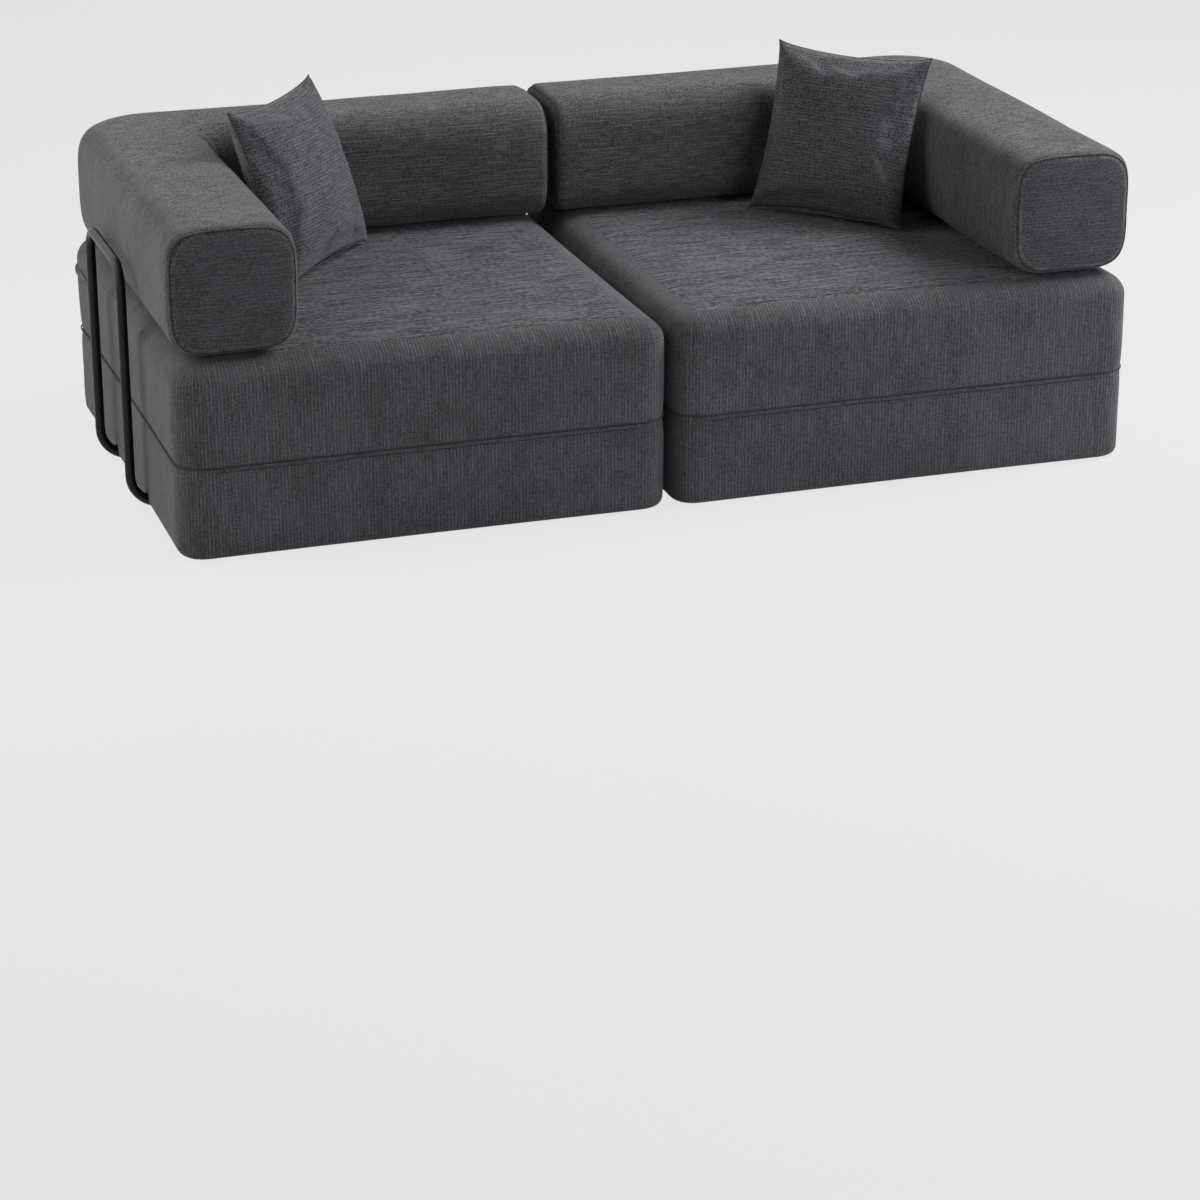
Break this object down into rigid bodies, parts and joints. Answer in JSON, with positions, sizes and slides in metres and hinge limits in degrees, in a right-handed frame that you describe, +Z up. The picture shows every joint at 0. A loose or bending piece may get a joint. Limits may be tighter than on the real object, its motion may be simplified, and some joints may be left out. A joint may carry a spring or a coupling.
{
  "type": "sofa bed",
  "caption": "Modular floor sofa bed with fold-out seat cushions, L-shaped bolsters held by bent tube brackets, and throw pillows.",
  "frame": {"origin": "centre of the footprint, on the floor", "axes": "+X along the sofa's width to the sitter's left-hand side as seen from the front right, +Y to the back, +Z up; the front faces -Y"},
  "size_m": [2.124, 1.088, 0.7635],
  "materials": {
    "upholstery": "matte",
    "underside_cloth": "matte",
    "foam": "matte",
    "filling": "matte",
    "zip": "matte",
    "bracket_tube": "satin",
    "plug": "matte"
  },
  "bodies": {
    "left_base": {"left_base_cover": "upholstery", "left_base_foam": "foam", "left_base_panel": "underside_cloth", "left_base_zip": "zip"},
    "left_seat": {"left_seat_cover": "upholstery", "left_seat_foam": "foam", "left_hinge_seam": "upholstery", "left_zip_flap": "upholstery"},
    "left_zip": {"left_seat_zip": "zip"},
    "left_bolster": {"left_bolster_cover": "upholstery", "left_bolster_foam": "foam", "left_bolster_zip": "zip"},
    "left_pillow": {"left_pillow_cover": "upholstery", "left_pillow_filling": "filling", "left_pillow_zip": "zip"},
    "left_back_bracket": {"left_back_bracket": "bracket_tube", "left_back_plugs": "plug"},
    "left_side_bracket": {"left_side_bracket": "bracket_tube", "left_side_plugs": "plug"},
    "right_base": {"right_base_cover": "upholstery", "right_base_foam": "foam", "right_base_panel": "underside_cloth", "right_base_zip": "zip"},
    "right_seat": {"right_seat_cover": "upholstery", "right_seat_foam": "foam", "right_hinge_seam": "upholstery", "right_zip_flap": "upholstery"},
    "right_zip": {"right_seat_zip": "zip"},
    "right_bolster": {"right_bolster_cover": "upholstery", "right_bolster_foam": "foam", "right_bolster_zip": "zip"},
    "right_pillow": {"right_pillow_cover": "upholstery", "right_pillow_filling": "filling", "right_pillow_zip": "zip"},
    "right_back_bracket": {"right_back_bracket": "bracket_tube", "right_back_plugs": "plug"},
    "right_side_bracket": {"right_side_bracket": "bracket_tube", "right_side_plugs": "plug"}
  },
  "joints": [
    {"name": "left_unfold", "type": "hinge", "parent": "left_base", "child": "left_seat", "pos_m": [0, -0.5444, 0.2024], "axis": [1, 0, 0], "range_deg": [0, 180]},
    {"name": "left_carry_level", "type": "hinge", "parent": "left_seat", "child": "left_zip", "pos_m": [0, 0.513, 0.31324], "axis": [1, 0, 0], "range_deg": [-180, 0]},
    {"name": "left_carry_back", "type": "slide", "parent": "left_zip", "child": "left_bolster", "axis": [0, 1, 0.0044], "range_m": [0, 2.11483]},
    {"name": "left_pillow_lift", "type": "slide", "parent": "left_bolster", "child": "left_pillow", "axis": [0, 0, -1], "range_m": [-0.25, 0]},
    {"name": "left_back_bracket_slide", "type": "slide", "parent": "left_base", "child": "left_back_bracket", "axis": [0, -1, 0], "range_m": [-0.26, 0]},
    {"name": "left_side_bracket_slide", "type": "slide", "parent": "left_base", "child": "left_side_bracket", "axis": [1, 0, 0], "range_m": [-0.26, 0]},
    {"name": "right_unfold", "type": "hinge", "parent": "right_base", "child": "right_seat", "pos_m": [0, -0.5444, 0.2024], "axis": [1, 0, 0], "range_deg": [0, 180]},
    {"name": "right_carry_level", "type": "hinge", "parent": "right_seat", "child": "right_zip", "pos_m": [0, 0.513, 0.31324], "axis": [1, 0, 0], "range_deg": [-180, 0]},
    {"name": "right_carry_back", "type": "slide", "parent": "right_zip", "child": "right_bolster", "axis": [0, 1, 0.0044], "range_m": [0, 2.11483]},
    {"name": "right_pillow_lift", "type": "slide", "parent": "right_bolster", "child": "right_pillow", "axis": [0, 0, -1], "range_m": [-0.25, 0]},
    {"name": "right_back_bracket_slide", "type": "slide", "parent": "right_base", "child": "right_back_bracket", "axis": [0, -1, 0], "range_m": [-0.26, 0]},
    {"name": "right_side_bracket_slide", "type": "slide", "parent": "right_base", "child": "right_side_bracket", "axis": [-1, 0, 0], "range_m": [-0.26, 0]},
    {"name": "halves_apart", "type": "slide", "parent": "left_base", "child": "right_base", "axis": [-1, 0, 0], "range_m": [-0.3, 0]}
  ],
  "couplings": [
    {"joint": "left_carry_level", "follows": "left_unfold", "ratio": -1},
    {"joint": "left_carry_back", "follows": "left_unfold", "m_per_rad": 0.67317},
    {"joint": "right_carry_level", "follows": "right_unfold", "ratio": -1},
    {"joint": "right_carry_back", "follows": "right_unfold", "m_per_rad": 0.67317}
  ]
}
